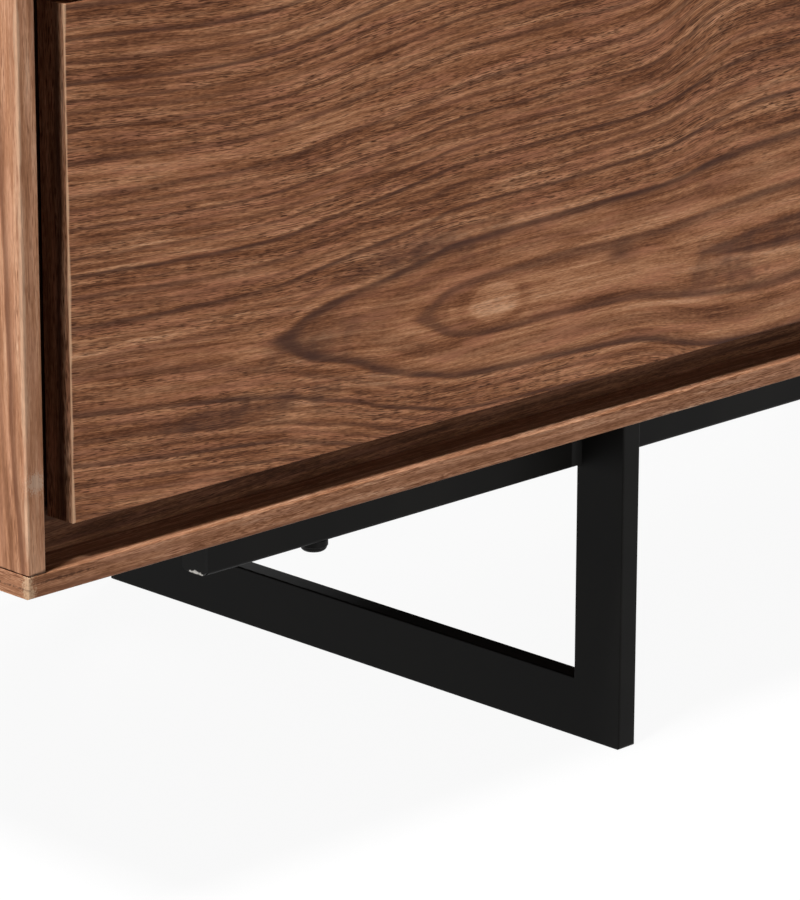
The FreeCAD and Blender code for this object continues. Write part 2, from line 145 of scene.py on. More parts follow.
def wood_place(tree, axes, seed):
    """The place in millimetres by the grain, the same moved to fresh wood, and where the ends are."""
    place = add(tree, "TexCoord")
    mm = add(tree, "VectorMath", {0: place.outputs["Object"], "Scale": 1 / MM}, operation="SCALE")
    split = add(tree, "SeparateXYZ", {0: mm.outputs[0]})
    along, across, through = [split.outputs[axis] for axis in axes]
    facing = add(tree, "SeparateXYZ", {0: place.outputs["Normal"]})
    turned = add(tree, "Math", {0: facing.outputs[axes[0]]}, operation="ABSOLUTE")
    is_end = add(tree, "Math", {0: turned.outputs[0], 1: end_facing}, operation="GREATER_THAN")
    face_way = add(tree, "CombineXYZ", {0: along, 1: across, 2: through})
    end_way = add(tree, "CombineXYZ", {0: across, 1: through, 2: along})
    grain = add(tree, "Mix", {0: is_end.outputs[0], 4: face_way.outputs[0], 5: end_way.outputs[0]},
                data_type="VECTOR")
    away = tuple(seed * step for step in fresh_steps)
    fresh = add(tree, "VectorMath", {0: grain.outputs[1], 1: away}, operation="ADD")
    return grain.outputs[1], fresh.outputs[0], is_end.outputs[0]


def wood_noise(tree, place, long, tall, detail=1.0, roughness=0.5):
    """Noise drawn out along the grain: its flecks are long and tall by these millimetres."""
    drawn = add(tree, "Mapping", {0: place, "Scale": (1 / long, 1 / tall, 1 / tall)})
    noise = add(tree, "TexNoise", {0: drawn.outputs[0], "Scale": 1.0, "Detail": detail,
                                   "Roughness": roughness})
    return noise.outputs[0]


def wood_shift(tree, place, long, tall, reach, detail=1.0, roughness=0.5):
    """The same noise as a shift to both sides, by half of its reach."""
    noise = wood_noise(tree, place, long, tall, detail, roughness)
    shift = add(tree, "Math", {0: noise, 1: reach, 2: -reach / 2}, operation="MULTIPLY_ADD")
    return shift.outputs[0]


lean = round(math.degrees(math.acos(end_facing)))
print("a face is an end if it leans less than", lean, "degrees from square to the grain")

# %% [markdown]
# Marks. Nothing in use stays perfect: a corner wears down to the pale wood under its stain, an
# edge is scuffed, paint chips. Other marks are painted light: a pale highlight down an arris,
# painted shade along a seam. Each mark is a small egg-shaped patch. A noise added to the
# distance from its middle makes its rim ragged, and a wide rim lets it fade out like a cloud.

# %% Marks
rag_strength = 3.0
patch_reach = 2.7


def patch(tree, middle, half, ragged, rim=0.6):
    """1 inside a patch, 0 outside. middle, half size and rag size are in millimetres."""
    place = add(tree, "TexCoord")
    mm = add(tree, "VectorMath", {0: place.outputs["Object"], "Scale": 1 / MM}, operation="SCALE")
    apart = add(tree, "VectorMath", {0: mm.outputs[0], 1: middle}, operation="SUBTRACT")
    drawn = add(tree, "VectorMath", {0: apart.outputs[0], 1: half}, operation="DIVIDE")
    away = add(tree, "VectorMath", {0: drawn.outputs[0]}, operation="LENGTH")
    rags = add(tree, "TexNoise", {0: mm.outputs[0], "Scale": 1 / ragged, "Detail": 2.0})
    reach = add(tree, "Math", {0: rags.outputs[0], 1: rag_strength, 2: away.outputs["Value"]},
                operation="MULTIPLY_ADD")
    inside = add(tree, "MapRange", {0: reach.outputs[0], 1: patch_reach, 2: patch_reach - rim,
                                    3: 0.0, 4: 1.0})
    return inside.outputs[0]


print("a patch ends about", round(patch_reach - rag_strength / 2, 1), "half sizes from its middle")

# %% [markdown]
# Year rings. Each year a tree grows pale wood in spring and dark, purple-brown wood late in
# summer. The years below are read outwards from the pith, as on a stump: where each one ends,
# in millimetres, how dark its last wood is, and how much darker than most its other wood is.
# A curve node turns them into a tone: it climbs to the dark line at the end of a year and
# drops at once to the pale wood of the next.

# %% Year rings
years = [(7.0, 0.8, 0.1), (21.5, 0.75, 0.08), (33.0, 0.2, 0.15), (42.0, 1.0, 0.15), (48.5, 0.45, 0.0),
         (53.0, 0.3, 0.03), (58.5, 0.95, 0.07), (64.0, 0.4, 0.06), (70.0, 0.65, 0.08),
         (74.5, 0.35, 0.08), (80.0, 0.95, 0.08), (84.0, 0.3, 0.0), (89.0, 0.7, 0.04), (95.0, 0.5, 0.02),
         (99.0, 0.35, 0.05), (104.0, 0.8, 0.06), (109.0, 0.4, 0.0), (114.0, 0.55, 0.02),
         (121.0, 0.7, 0.06)]
log_radius = 128.0
plain_tone = 0.25
pith_tone = 0.3
widest_band = 9.0


def year_line():
    """Tone by distance from the pith: less than the plain tone is paler and more is darker."""
    points = [(0.0, pith_tone)]
    for end, darkness, cast in years:
        width = min(end - points[-1][0], widest_band)
        # The cast of the year, its late wood, its dark line, and the pale start of the next.
        points.append((end - 0.65 * width, plain_tone + cast))
        points.append((end - 0.42 * width, plain_tone + cast + 0.28 * darkness))
        points.append((end - 0.15 * width, plain_tone + 0.85 * darkness))
        points.append((end + 0.1 * width, plain_tone - 0.03 - 0.12 * darkness))
    return points + [(log_radius, pith_tone)]


def along_line(tree, value, points):
    """Reads a smooth line drawn through points, such as a height for each place on a board."""
    places, heights = zip(*points)
    first, last, low, high = places[0], places[-1], min(heights), max(heights)
    share = add(tree, "MapRange", {0: value, 1: first, 2: last, 3: 0.0, 4: 1.0})
    shares = [((x - first) / (last - first), (y - low) / (high - low)) for x, y in points]
    line = add(tree, "FloatCurve", {"Value": share.outputs[0]}, points=shares)
    return add(tree, "MapRange", {0: line.outputs[0], 1: 0.0, 2: 1.0, 3: low, 4: high}).outputs[0]


print(len(years), "years in", log_radius, "mm")

# %% [markdown]
# Figure. A flat-cut board passes beside the pith, so its rings show as lines, and where the
# pith nears the face they close into pointed arches. The age at a point is its distance from
# the pith, whose height and depth are drawn as two lines along the board, and a third line
# says how the rings crowd. Squares would give round arches, so a lower power keeps their tips
# sharp.

# %% Distance from the pith
arch_power = 1.5


def pith_distance(tree, grain, face, figure):
    """The distance from the pith, and how far aside its rings have moved a point."""
    place = add(tree, "SeparateXYZ", {0: grain})
    centre, depth, spread = [along_line(tree, place.outputs[0], figure[line])
                             for line in ("pith_height", "pith_depth", "spread")]
    inwards = add(tree, "Math", {0: place.outputs[2], 1: face}, operation="SUBTRACT")
    inwards = add(tree, "Math", {0: inwards.outputs[0]}, operation="ABSOLUTE")
    offset = add(tree, "Math", {0: place.outputs[1], 1: centre}, operation="SUBTRACT")
    offset = add(tree, "Math", {0: offset.outputs[0], 1: spread}, operation="MULTIPLY")
    sideways = add(tree, "Math", {0: offset.outputs[0]}, operation="ABSOLUTE")
    powers = [add(tree, "Math", {0: part, 1: arch_power}, operation="POWER").outputs[0]
              for part in (sideways.outputs[0], total(tree, depth, inwards.outputs[0]))]
    radius = add(tree, "Math", {0: total(tree, *powers), 1: 1 / arch_power}, operation="POWER")
    aside = add(tree, "Math", {0: offset.outputs[0], 1: place.outputs[1]}, operation="SUBTRACT")
    return radius.outputs[0], aside.outputs[0]


shoulder = 0.5 ** (1 / arch_power) / 0.5 ** 0.5
print("half way round, a ring lies at", round(shoulder, 2), "of a circle's radius")

# %% [markdown]
# A knot is a branch: a soft hill in the age, round which the rings bend. A trunk is never quite
# straight either, so a slow sway and a quicker waver are added to the age, and the fibres
# follow them.

# %% Age of the wood
sway_reach, waver_reach = 7.0, 3.6
fibre_waver = 0.35


def knot_hills(tree, grain, knots):
    """What the knots take off the age round them, and how near a knot is, from 0 to 1."""
    lifts, nearness = [], None
    for (x, z), (long, tall), lift in knots:
        apart = add(tree, "VectorMath", {0: grain, 1: (x, z, 0)}, operation="SUBTRACT")
        drawn = add(tree, "VectorMath", {0: apart.outputs[0], 1: (1 / long, 1 / tall, 0)},
                    operation="MULTIPLY")
        square = add(tree, "VectorMath", {0: drawn.outputs[0], 1: drawn.outputs[0]},
                     operation="DOT_PRODUCT")
        fall = add(tree, "Math", {0: square.outputs["Value"], 1: -1.0}, operation="MULTIPLY")
        hill = add(tree, "Math", {0: fall.outputs[0]}, operation="EXPONENT").outputs[0]
        lifts.append(add(tree, "Math", {0: hill, 1: -lift}, operation="MULTIPLY").outputs[0])
        nearness = total(tree, hill, nearness) if nearness else hill
    return lifts, nearness


def wood_age(tree, grain, fresh, face, figure):
    """The age in millimetres of growth, how far aside the fibres bend, how near a knot is."""
    sway = wood_shift(tree, fresh, 260, 70, sway_reach, 1.0, 0.4)
    waver = wood_shift(tree, fresh, 90, 16, waver_reach, 3.0)
    radius, aside = pith_distance(tree, grain, face, figure)
    lifts, knot = knot_hills(tree, grain, figure.get("knots", []))
    slight = add(tree, "Math", {0: waver, 1: fibre_waver}, operation="MULTIPLY").outputs[0]
    return total(tree, radius, sway, waver, *lifts), total(tree, aside, sway, slight), knot


print("rings sway by", sway_reach / 2, "mm and waver by", waver_reach / 2, "mm to each side")

# %% [markdown]
# What lies between the dark lines. Under the rings are flecks of every length: broad clouds,
# streaks and fine dashes, each told by its length, height and strength. Open pores show as
# short dark dashes, which in walnut are about 0.2 mm wide. They are drawn about 0.5 mm wide
# here, so that they still show from across the room. The young wood near the pith has fewer.

# %% Rings, flecks and pores
flecks = [(180.0, 12.0, 0.65), (60.0, 4.0, 0.7), (50.0, 1.3, 0.45)]
fine_flecks = [(16.0, 0.7, 0.4), (4.0, 0.5, 0.6)]
pores = [(13.0, 0.6), (6.0, 0.45)]
knot_line = [(0.0, 0.0), (0.15, 0.0), (0.36, -0.14), (0.62, 0.1), (1.0, 0.22)]


def ring_tone(tree, age, fresh, strength):
    """Above 0 in late wood and below 0 in spring wood, in places stronger than in others."""
    in_log = add(tree, "Math", {0: age, 1: log_radius}, operation="PINGPONG")
    tone = add(tree, "Math", {0: along_line(tree, in_log.outputs[0], year_line()), 1: plain_tone},
               operation="SUBTRACT")
    broken = add(tree, "MapRange", {0: wood_noise(tree, fresh, 70, 7, 2.0), 1: 0.3, 2: 0.7,
                                    3: 0.65 * strength, 4: 1.15 * strength})
    ring = add(tree, "Math", {0: tone.outputs[0], 1: broken.outputs[0]}, operation="MULTIPLY")
    return ring.outputs[0]


def fleck_tone(tree, fibre, ring, knot, fineness):
    """Where the plain wood lies between its darkest colour, at 0, and its palest, at 1."""
    tone = 0.5
    for long, tall, strength in flecks:
        tone = total(tree, wood_shift(tree, fibre, long, tall, strength), tone)
    for long, tall, strength in fine_flecks:
        tone = total(tree, wood_shift(tree, fibre, long, tall, strength * fineness), tone)
    paler = add(tree, "Math", {0: ring, 1: -0.9}, operation="MULTIPLY")
    paler = add(tree, "Math", {0: paler.outputs[0], 1: 0.0}, operation="MAXIMUM")
    tone = total(tree, tone, paler.outputs[0])
    return total(tree, tone, along_line(tree, knot, knot_line)) if knot else tone


def open_pores(tree, fibre, age, strength):
    """The dashes of the pores, which gather in some places."""
    rarer = add(tree, "MapRange", {0: age, 1: 36.0, 2: 50.0, 3: 0.4, 4: 1.0})
    gathered = add(tree, "MapRange", {0: wood_noise(tree, fibre, 120, 9), 1: 0.4, 2: 0.6,
                                      3: 0.55, 4: 1.1})
    crowd = add(tree, "Math", {0: rarer.outputs[0], 1: gathered.outputs[0]}, operation="MULTIPLY")
    dashes = []
    for long, tall in pores:
        noise = wood_noise(tree, fibre, long, tall, 0.0)
        dash = add(tree, "MapRange", {0: noise, 1: 0.545, 2: 0.65, 3: 0.0, 4: strength})
        dashes.append(dash.outputs[0])
    pore = add(tree, "Math", {0: total(tree, *dashes), 1: crowd.outputs[0]}, operation="MULTIPLY",
               use_clamp=True)
    return pore.outputs[0]


print(len(flecks) + len(fine_flecks), "sizes of fleck and", len(pores), "of pore")

# %% [markdown]
# Now the veneer itself, as layers of colour: the plain wood, a rosy cast in places, the late
# wood, the pores, and last the marks, painted highlights and shade among them. The satin
# lacquer over them gives a broad, weak sheen and dips a little into the pores.

# %% Veneer
steps = (0.0, 0.25, 0.5, 0.75, 1.0)
rosy_share = 0.45
pore_dip = 0.05
rough_dark, rough_pale = 0.5, 0.42


def veneer(name, axes, wood, figure, face, seed=0.0, end_tones=None, marks=()):
    """A lacquered veneer of a wood. axes names the ways along, across and into the board."""
    material, tree = new_finish(name)
    grain, fresh, is_end = wood_place(tree, axes, seed)
    age, bend, knot = wood_age(tree, grain, fresh, face, figure)
    ring = ring_tone(tree, age, fresh, wood["rings"])
    shift = add(tree, "CombineXYZ", {1: bend})
    fibre = add(tree, "VectorMath", {0: fresh, 1: shift.outputs[0]}, operation="ADD").outputs[0]
    tone = fleck_tone(tree, fibre, ring, knot, wood["fine"])
    colour = add(tree, "ValToRGB", {0: tone}, stops=list(zip(steps, wood["tones"]))).outputs[0]
    if end_tones:
        end_colour = add(tree, "ValToRGB", {0: tone}, stops=list(zip(steps, end_tones)))
        colour = add(tree, "Mix", {0: is_end, 6: colour, 7: end_colour.outputs[0]},
                     data_type="RGBA").outputs[2]
    rosy = add(tree, "MapRange", {0: wood_noise(tree, fibre, 45, 5, 2.0), 1: 0.48, 2: 0.68,
                                  3: 0.0, 4: rosy_share})
    late = add(tree, "Math", {0: ring, 1: 0.0}, operation="MAXIMUM")
    pore = open_pores(tree, fibre, age, wood["pores"])
    layers = [(rosy.outputs[0], wood["rosy"]), (late.outputs[0], wood["late"]), (pore, wood["pore"])]
    for middle, half, ragged, tint, strength, *rim in marks:
        mark = add(tree, "Math", {0: patch(tree, middle, half, ragged, *rim), 1: strength},
                   operation="MULTIPLY")
        layers.append((mark.outputs[0], tint))
    for share, tint in layers:
        colour = add(tree, "Mix", {0: share, 6: colour, 7: linear(tint)}, data_type="RGBA").outputs[2]
    bump = add(tree, "Bump", {"Strength": 0.35, "Distance": -pore_dip * MM, "Height": pore})
    sheen = add(tree, "MapRange", {0: tone, 1: 0.2, 2: 0.8, 3: rough_dark, 4: rough_pale})
    shader = add(tree, "BsdfPrincipled", {
        "Base Color": colour, "Roughness": sheen.outputs[0], "IOR": 1.5,
        "Specular IOR Level": 0.1, "Normal": bump.outputs[0]})
    add(tree, "OutputMaterial", {0: shader.outputs[0]})
    return material


print("each veneer runs through", len(steps), "tones")

# %% [markdown]
# Woods. Four are used: walnut for the fronts, the same painted darker for the frame in the
# shadow gap, as painted shade there, a paler walnut for the shell and the edge bands, and plain
# beech for the drawer boxes. Each has five tones of plain wood from dark to pale, a tint for
# every layer over them, and the strength of its rings, pores and fine flecks. The bottom is the
# paler walnut with more pores.

# %% Woods
walnut = {
    "tones": ("#4A2A1A", "#74462C", "#A56E4C", "#CA916A", "#E6B18B"),
    "rosy": "#CA8868", "late": "#452C25", "pore": "#4E2D1C", "rings": 1.0, "pores": 0.65, "fine": 0.9,
}
# Darker tones for the frame in the shadow gap: painted shade.
gap_shade_walnut = {
    "tones": ("#281409", "#3D2213", "#5B3A26", "#734E37", "#87624A"),
    "rosy": "#714A39", "late": "#2A1812", "pore": "#331D11", "rings": 0.8, "pores": 0.5, "fine": 1.0,
}
pale_walnut = {
    "tones": ("#613B26", "#895C40", "#AE7B5B", "#CA9A7A", "#DFBCA0"),
    "rosy": "#C69072", "late": "#67402E", "pore": "#744930", "rings": 0.9, "pores": 0.35, "fine": 0.5,
}
beech = {
    "tones": ("#A07A58", "#B28B66", "#C29D77", "#CEAC87", "#DBBC98"),
    "rosy": "#CDA283", "late": "#A27A56", "pore": "#9C7653", "rings": 0.4, "pores": 0.5, "fine": 0.8,
}
bottom_walnut = dict(pale_walnut, pores=0.75, fine=0.8)
band_tones = pale_walnut["tones"]
print("middle tones:", [wood["tones"][2] for wood in (walnut, gap_shade_walnut, pale_walnut, beech)])

# %% [markdown]
# Figure of the lower drawer front, read off the real one. Each line gives places along the
# board, in millimetres, and the height or the depth of the pith there. They make an arch that
# opens to the right, a second inside it round a pale knot, and a third that fades out at the
# right. A knot has a middle, a size and a height of its hill. Soft dark clouds lie by the
# arches, each with a middle and a half size.

# %% Figure of the lower front
lower_front_figure = {
    "pith_height": [(-870.0, 342.0), (-720.0, 330.5), (-655.0, 326.5), (-590.0, 321.5),
                    (-420.0, 321.0), (-340.0, 318.0), (-200.0, 322.0), (0.0, 340.0)],
    "pith_depth": [(-870.0, 46.6), (-780.0, 44.6), (-710.0, 41.0), (-682.0, 36.2), (-645.0, 31.0),
                   (-590.0, 20.9), (-550.0, 13.1), (-480.0, 11.0), (-390.0, 10.0), (-330.0, 6.5),
                   (-250.0, 2.0), (0.0, 8.0)],
    "spread": [(-870.0, 1.0), (-720.0, 0.98), (-590.0, 0.87), (-420.0, 0.82), (-280.0, 0.64),
               (0.0, 0.7)],
    "knots": [((-533.0, 321.0), (27.0, 15.0), 3.0)],
    "clouds": [((-682.0, 323.0), (42.0, 11.0)), ((-722.0, 294.0), (90.0, 8.0)),
               ((-325.0, 309.0), (34.0, 17.0)), ((-590.0, 362.0), (70.0, 12.0)),
               ((-250.0, 318.0), (26.0, 14.0)), ((-420.0, 331.0), (16.0, 7.0))],
}
nearest = min(depth for place, depth in lower_front_figure["pith_depth"])
print("the pith comes within", nearest, "mm of the lower front's face")

# %% [markdown]
# Figures of the other fronts. Each is a different leaf of veneer, so each has its own pith
# lines. The upper drawer's arches open to the left. The doors are two leaves laid open like a
# book, so their arches open towards each other.

# %% Figures of the other fronts
upper_front_figure = {
    "pith_height": [(-870.0, 610.0), (-600.0, 622.0), (-300.0, 640.0), (0.0, 634.0)],
    "pith_depth": [(-870.0, 8.0), (-700.0, 26.0), (-450.0, 48.0), (-200.0, 58.0), (0.0, 66.0)],
    "spread": [(-870.0, 1.0), (-400.0, 0.85), (0.0, 0.95)],
}
left_door_figure = {
    "pith_height": [(0.0, 505.0), (150.0, 494.0), (300.0, 482.0), (440.0, 486.0)],
    "pith_depth": [(0.0, 66.0), (120.0, 48.0), (260.0, 20.0), (440.0, 4.0)],
    "spread": [(0.0, 0.9), (200.0, 0.8), (440.0, 0.75)],
}
right_door_figure = {
    "pith_height": [(430.0, 486.0), (560.0, 476.0), (720.0, 490.0), (880.0, 502.0)],
    "pith_depth": [(430.0, 4.0), (600.0, 18.0), (740.0, 44.0), (880.0, 62.0)],
    "spread": [(430.0, 0.75), (650.0, 0.8), (880.0, 0.9)],
    "knots": [((590.0, 476.0), (20.0, 12.0), 3.0)],
}
print("the right door has", len(right_door_figure["knots"]), "knot")

# %% [markdown]
# Figures of the shell and of the boards that hardly show. The top is one long leaf whose arches
# open to the right, and on the sides the lines run upright. On the others the pith keeps
# nearly the same height and depth, which gives plain lines from end to end.

# %% Figures of the shell
top_figure = {
    "pith_height": [(-900.0, -40.0), (-350.0, 10.0), (250.0, -20.0), (900.0, 35.0)],
    "pith_depth": [(-900.0, 96.0), (-500.0, 66.0), (-100.0, 44.0), (400.0, 24.0), (900.0, 5.0)],
    "spread": [(-900.0, 0.7), (0.0, 0.62), (900.0, 0.66)],
}
side_figure = {
    "pith_height": [(220.0, 24.0), (450.0, 34.0), (760.0, 30.0)],
    "pith_depth": [(220.0, 26.0), (480.0, 46.0), (760.0, 68.0)],
    "spread": [(220.0, 0.76), (500.0, 0.74), (760.0, 0.76)],
}


def plain_figure(height, depth, spread=1.0):
    """The pith runs nearly straight along the board."""
    ends = (-900.0, 0.0, 900.0)
    return {"pith_height": list(zip(ends, (height - 12, height + 9, height - 4))),
            "pith_depth": list(zip(ends, (depth, depth - 14, depth + 8))),
            "spread": list(zip(ends, (spread, 0.95 * spread, spread)))}


print("the top's lines run from", top_figure["spread"][0][0], "to", top_figure["spread"][-1][0], "mm")

# %% [markdown]
# The fronts are veneered, and then their ends are banded with a paler walnut. The box of a node
# tells where the face lies that its figure is seen on. Two marks are laid on: a pale stripe down
# the left upright arris is a painted highlight, and the clouds are laid over the figure with a
# wide, soft rim.

# %% Veneer of the fronts
case_middle = 490.0
cloud_rim = 1.8


def face_mm(node, axis, low=True):
    """The place of a node's lower or upper face along an axis, in millimetres."""
    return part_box(node)[0 if low else 1][axis] / MM


front_face = face_mm("lower_drawer_front", 1)
fronts = [("lower_drawer_front", lower_front_figure), ("upper_drawer_front", upper_front_figure),
          ("left_door_panel", left_door_figure), ("right_door_panel", right_door_figure)]
for seed, (node, figure) in enumerate(fronts):
    highlight_arris = (face_mm(node, 0), front_face, case_middle)
    # A pale stripe down the left upright arris of each front: a painted highlight.
    marks = [(highlight_arris, (1.3, 1.3, 600.0), 40.0, "#E4B894", 0.6)]
    marks += [((x, front_face, z), (long, 8.0, tall), 18.0, walnut["late"], 0.9, cloud_rim)
              for (x, z), (long, tall) in figure.get("clouds", [])]
    dress(veneer(node + " veneer", "XZY", walnut, figure, front_face, seed, band_tones, marks), node)

# %% [markdown]
# The shell is the paler walnut. The marks on it: on the bottom a lower left corner rubbed pale
# and dark lines in the edge bands, and on the left side a scuff at the foot of its front edge, a
# painted highlight down its outer front arris, and painted shade with some dirt along the seam
# where it stands on the bottom.

# %% Veneer of the shell
left_edge, front_edge, foot = [face_mm("bottom_panel", axis) for axis in range(3)]
seam = face_mm("left_side_panel", 2)
bottom_marks = [
    ((left_edge, front_edge, foot + 6.5), (4.5, 4.5, 12.0), 1.2, "#D8B795", 0.6),
    ((left_edge, front_edge + 95.0, foot + 5.4), (2.0, 95.0, 0.8), 3.0, "#4E3223", 0.8),
    ((left_edge + 24.0, front_edge, foot + 8.2), (22.0, 3.0, 0.7), 3.0, "#4E3020", 0.8),
]
side_wear_and_painted_light = [
    ((left_edge + 7.0, front_edge, foot + 65.5), (6.0, 4.0, 5.5), 0.9, "#CDBBA8", 0.36),
    # A pale stripe down the outer front arris: a painted highlight.
    ((left_edge, front_edge, foot + 270.0), (2.0, 2.0, 400.0), 40.0, "#E2C2A4", 0.3),
    # A dark line along the seam, on the side and on its front edge: painted shade with some dirt.
    ((left_edge, front_edge + 250.0, seam), (2.0, 300.0, 2.0), 20.0, "#2A1A10", 0.9),
    ((left_edge + 6.0, front_edge, seam), (12.0, 2.0, 2.0), 20.0, "#2A1A10", 0.9),
]
level_figure, back_figure = plain_figure(-190.0, 55.0), plain_figure(470.0, 60.0, 0.6)
shell = [
    ("top", "top_panel", "XYZ", pale_walnut, top_figure, (2, False), 4.0, ()),
    ("bottom", "bottom_panel", "XYZ", bottom_walnut, level_figure, (2, True), 4.5, bottom_marks),
    ("shelf", "shelf", "XYZ", pale_walnut, level_figure, (2, False), 4.8, ()),
    ("left side", "left_side_panel", "ZYX", pale_walnut, side_figure, (0, True), 5.0, side_wear_and_painted_light),
    ("right side", "right_side_panel", "ZYX", pale_walnut, side_figure, (0, False), 6.0, ()),
    ("back", "back_panel", "XZY", walnut, back_figure, (1, False), 7.0, ()),
]
for name, node, axes, wood, figure, (axis, low), seed, marks in shell:
    face = face_mm(node, axis, low)
    dress(veneer(name + " veneer", axes, wood, figure, face, seed, marks=marks), node)

# %% [markdown]
# The frame behind the fronts is painted dark, as painted shade, so that it falls back into the
# shadow gap. The grain of its rails runs along the case, and that of its stiles upright.

# %% Veneer of the frame
frame_face = face_mm("frame_bottom_rail", 1)
dress(veneer("rail veneer", "XZY", gap_shade_walnut, plain_figure(300.0, 90.0), frame_face, 8.0),
      "frame_bottom_rail", "frame_top_rail", "drawer_cross_rail")
dress(veneer("stile veneer", "ZXY", gap_shade_walnut, plain_figure(60.0, 90.0), frame_face, 9.0),
      "frame_left_stile", "frame_right_stile", "centre_divider")

# %% [markdown]
# The drawer boxes are plain beech. The grain of their sides and bottoms runs from front to
# back, and that of their backs along the drawer. The packers beside the runners are beech too.

# %% Beech of the drawer boxes
for seed, drawer in enumerate(("lower", "upper"), start=10):
    boards = [drawer + "_drawer_" + board for board in ("left_side", "right_side", "bottom")]
    box_figure, drawer_back_figure = plain_figure(420.0, 70.0), plain_figure(400.0, 80.0)
    dress(veneer(drawer + " drawer box beech", "YZX", beech, box_figure, 0.0, seed), *boards)
    dress(veneer(drawer + " drawer back beech", "XZY", beech, drawer_back_figure, 0.0, seed + 0.5),
          drawer + "_drawer_back")
dress(veneer("packer beech", "YZX", beech, plain_figure(300.0, 60.0), 0.0, 12.0), "runner_packers")

# %% [markdown]
# Powder coat. The paint is sprayed on as a dry powder and baked, which leaves a charcoal skin
# a tenth of a millimetre thick with a faint grain. The plates that close the rails' ends are
# painted a lighter grey, as painted light, for they stand nearer the lit left side. Where the
# front left one was knocked, a chip shows bright steel.

# %% Powder coat
grain_mm, cloud_mm = 0.9, 60.0
chip_rim = 1.4


def powder_coat(name, tones, chip=None):
    """Black paint with a fine grain. chip is the middle, half size and rag size of a bare patch."""
    material, tree = new_finish(name)
    place = add(tree, "TexCoord").outputs["Object"]
    grit = add(tree, "TexNoise", {0: place, "Scale": 1 / (grain_mm * MM), "Detail": 2.0})
    bump = add(tree, "Bump", {"Strength": 0.3, "Distance": 0.03 * MM, "Height": grit.outputs[0]})
    cloud = add(tree, "TexNoise", {0: place, "Scale": 1 / (cloud_mm * MM), "Detail": 2.0})
    tint = add(tree, "ValToRGB", {0: cloud.outputs[0]}, stops=list(zip((0.35, 0.65), tones)))
    surface = add(tree, "BsdfPrincipled", {
        "Base Color": tint.outputs[0], "Roughness": 0.5, "IOR": 1.5, "Specular IOR Level": 0.1,
        "Normal": bump.outputs[0]})
    if chip:
        steel = add(tree, "BsdfPrincipled", {
            "Base Color": linear("#C4C0BA"), "Metallic": 1.0, "Roughness": 0.45})
        bare = patch(tree, *chip, chip_rim)
        surface = add(tree, "MixShader", {0: bare, 1: surface.outputs[0], 2: steel.outputs[0]})
    add(tree, "OutputMaterial", {0: surface.outputs[0]})
    return material


coat = powder_coat("black powder coat", ("#0F0E0D", "#161513"))
dress(coat, "front_rail", "rear_rail", "weld_beads")
for side in ("left", "right"):
    dress(coat, side + "_front_leg", side + "_foot_bar", side + "_rear_leg")
plate_left, plate_front, plate_low = [face_mm("rail_end_plates", axis) for axis in range(3)]
chip = ((plate_left, plate_front + 8.5, plate_low + 0.6), (3.0, 5.5, 1.1))
# The lighter tones here are painted light on the end plates. The chip of bare steel is real.
dress(powder_coat("chipped powder coat, painted lighter", ("#1B1B1B", "#242322"), chip), "rail_end_plates")

# %% [markdown]
# Bare metals. Runners are rolled from strip that was zinc plated, so fine lines run along them
# and the plating is a cool, slightly cloudy grey. Pins, posts and strikes are nickel plated:
# warmer and smoother.

# %% Plated steel
line_mm, plating_cloud_mm = 0.6, 14.0
uneven = 0.07


def plated_steel(name, colours, roughness, roll=(1.0, 1.0, 1.0)):
    """Plated steel. roll draws the fine lines out along the way that the strip was rolled."""
    material, tree = new_finish(name)
    place = add(tree, "TexCoord").outputs["Object"]
    rolled = add(tree, "Mapping", {0: place, "Scale": roll})
    lines = add(tree, "TexNoise", {0: rolled.outputs[0], "Scale": 1 / (line_mm * MM), "Detail": 2.0})
    cloud = add(tree, "TexNoise", {0: place, "Scale": 1 / (plating_cloud_mm * MM), "Detail": 2.0})
    tint = add(tree, "ValToRGB", {0: cloud.outputs[0]}, stops=list(zip((0.35, 0.65), colours)))
    rough = add(tree, "MapRange", {0: lines.outputs[0], 1: 0.3, 2: 0.7, 3: roughness - uneven,
                                   4: roughness + uneven})
    bump = add(tree, "Bump", {"Strength": 0.2, "Distance": 0.02 * MM, "Height": lines.outputs[0]})
    shader = add(tree, "BsdfPrincipled", {"Base Color": tint.outputs[0], "Metallic": 1.0,
                                          "Roughness": rough.outputs[0], "Normal": bump.outputs[0]})
    add(tree, "OutputMaterial", {0: shader.outputs[0]})
    return material


zinc = plated_steel("zinc plated runner steel", ("#A9ADB1", "#C2C5C8"), 0.36, (1.0, 0.02, 1.0))
nickel = plated_steel("nickel plated steel", ("#A8A298", "#BDB6AA"), 0.26)
magnet = plated_steel("magnet shell, nickel plated", ("#8F8C88", "#A29F9A"), 0.32)
runners = [drawer + side + "runner_" + member + "_member" for drawer in ("lower_", "upper_")
           for side in ("left_", "right_") for member in ("cabinet", "middle", "drawer")]
dress(zinc, *runners)
dress(nickel, "shelf_pins", "door_pivot_posts", "left_door_strike", "right_door_strike")
dress(magnet, "door_magnets")

# %% [markdown]
# Nylon bushes are moulded: milky, with a soft gloss and the faint ripple of the mould. The
# pads behind the fronts are pressed wool felt, which swallows light and shows a fuzz of fibres.

